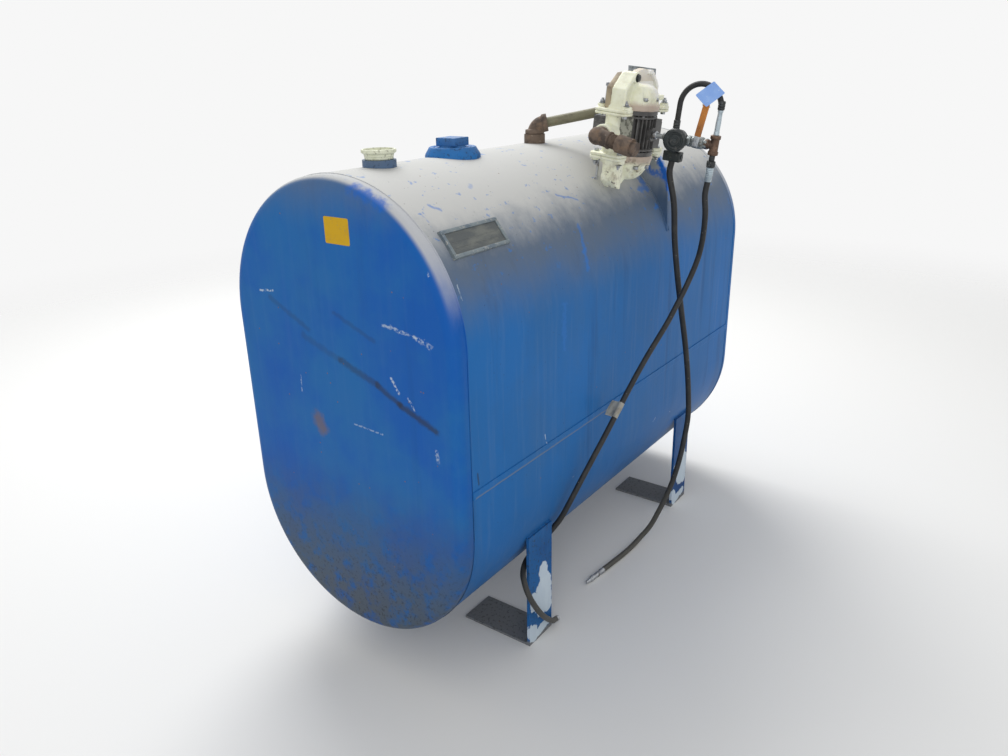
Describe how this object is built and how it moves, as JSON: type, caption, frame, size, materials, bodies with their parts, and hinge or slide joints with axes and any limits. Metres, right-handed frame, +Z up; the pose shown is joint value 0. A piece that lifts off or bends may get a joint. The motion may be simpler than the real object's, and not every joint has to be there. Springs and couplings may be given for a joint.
{
  "type": "horizontal storage tank",
  "caption": "Obround steel bulk oil tank lying along its length on strap legs, with an air-driven diaphragm pump, suction pipe, air regulator, lever valve and hoses on its shoulder",
  "frame": {"origin": "on the ground under the middle of the object's box, measured without the two free hoses", "axes": "+X runs along the tank towards the far head, +Z is up, -Y is the side the pump and the hoses hang on"},
  "size_m": [1.524, 0.8818, 1.4257],
  "materials": {
    "tank_paint": "weathered blue paint",
    "pipe_paint": "dull olive brown",
    "pipe_iron": "rusty",
    "plate_metal": "dusty, blank",
    "fitting_steel": "galvanised",
    "aged_cap": "sun-bleached",
    "cream_plastic": "dirty moulded plastic",
    "black_plastic": "worn",
    "regulator_metal": "dark",
    "lever_paint": "orange dip coat",
    "tag_plastic": "light blue, blank",
    "tee_brass": "tarnished",
    "hose_rubber": "matt",
    "flag_paper": "blank"
  },
  "bodies": {
    "tank": {"shell_upper": "tank_paint", "shell_lower": "tank_paint", "near_head": "tank_paint", "far_head": "tank_paint", "near_right_leg": "tank_paint", "near_left_leg": "tank_paint", "far_right_leg": "tank_paint", "far_left_leg": "tank_paint", "fill_coupling": "fitting_steel", "fill_cap": "aged_cap", "bung_collar": "tank_paint", "bung_plug": "tank_paint", "nameplate": "plate_metal", "suction_bushing": "pipe_iron", "suction_elbow": "pipe_iron", "suction_pipe": "pipe_paint", "inlet_drop": "pipe_iron", "pump_bracket": "tank_paint", "air_section": "black_plastic", "pump_plate": "plate_metal", "upper_chamber": "cream_plastic", "lower_chamber": "cream_plastic", "air_valve": "black_plastic", "front_tee": "cream_plastic", "rear_tee": "cream_plastic", "manifold_bolts": "fitting_steel", "discharge_elbow": "pipe_iron", "discharge_coupling": "pipe_iron", "air_nipple": "fitting_steel", "regulator_body": "regulator_metal", "regulator_knob": "black_plastic", "hose_block": "black_plastic", "valve_body": "fitting_steel", "brass_tee": "tee_brass", "jumper_stem": "fitting_steel", "jumper_hose": "hose_rubber", "delivery_swivel": "fitting_steel", "delivery_hose": "hose_rubber", "delivery_end": "fitting_steel", "hose_flag": "flag_paper", "air_hose": "hose_rubber", "air_coupler": "fitting_steel"},
    "lever": {"valve_lever": "lever_paint", "lever_tag": "tag_plastic"}
  },
  "joints": [
    {"name": "valve_turn", "type": "hinge", "parent": "tank", "child": "lever", "pos_m": [0.07, -0.37768, 1.24205], "axis": [1, 0, 0], "range_deg": [-7, 83]}
  ]
}
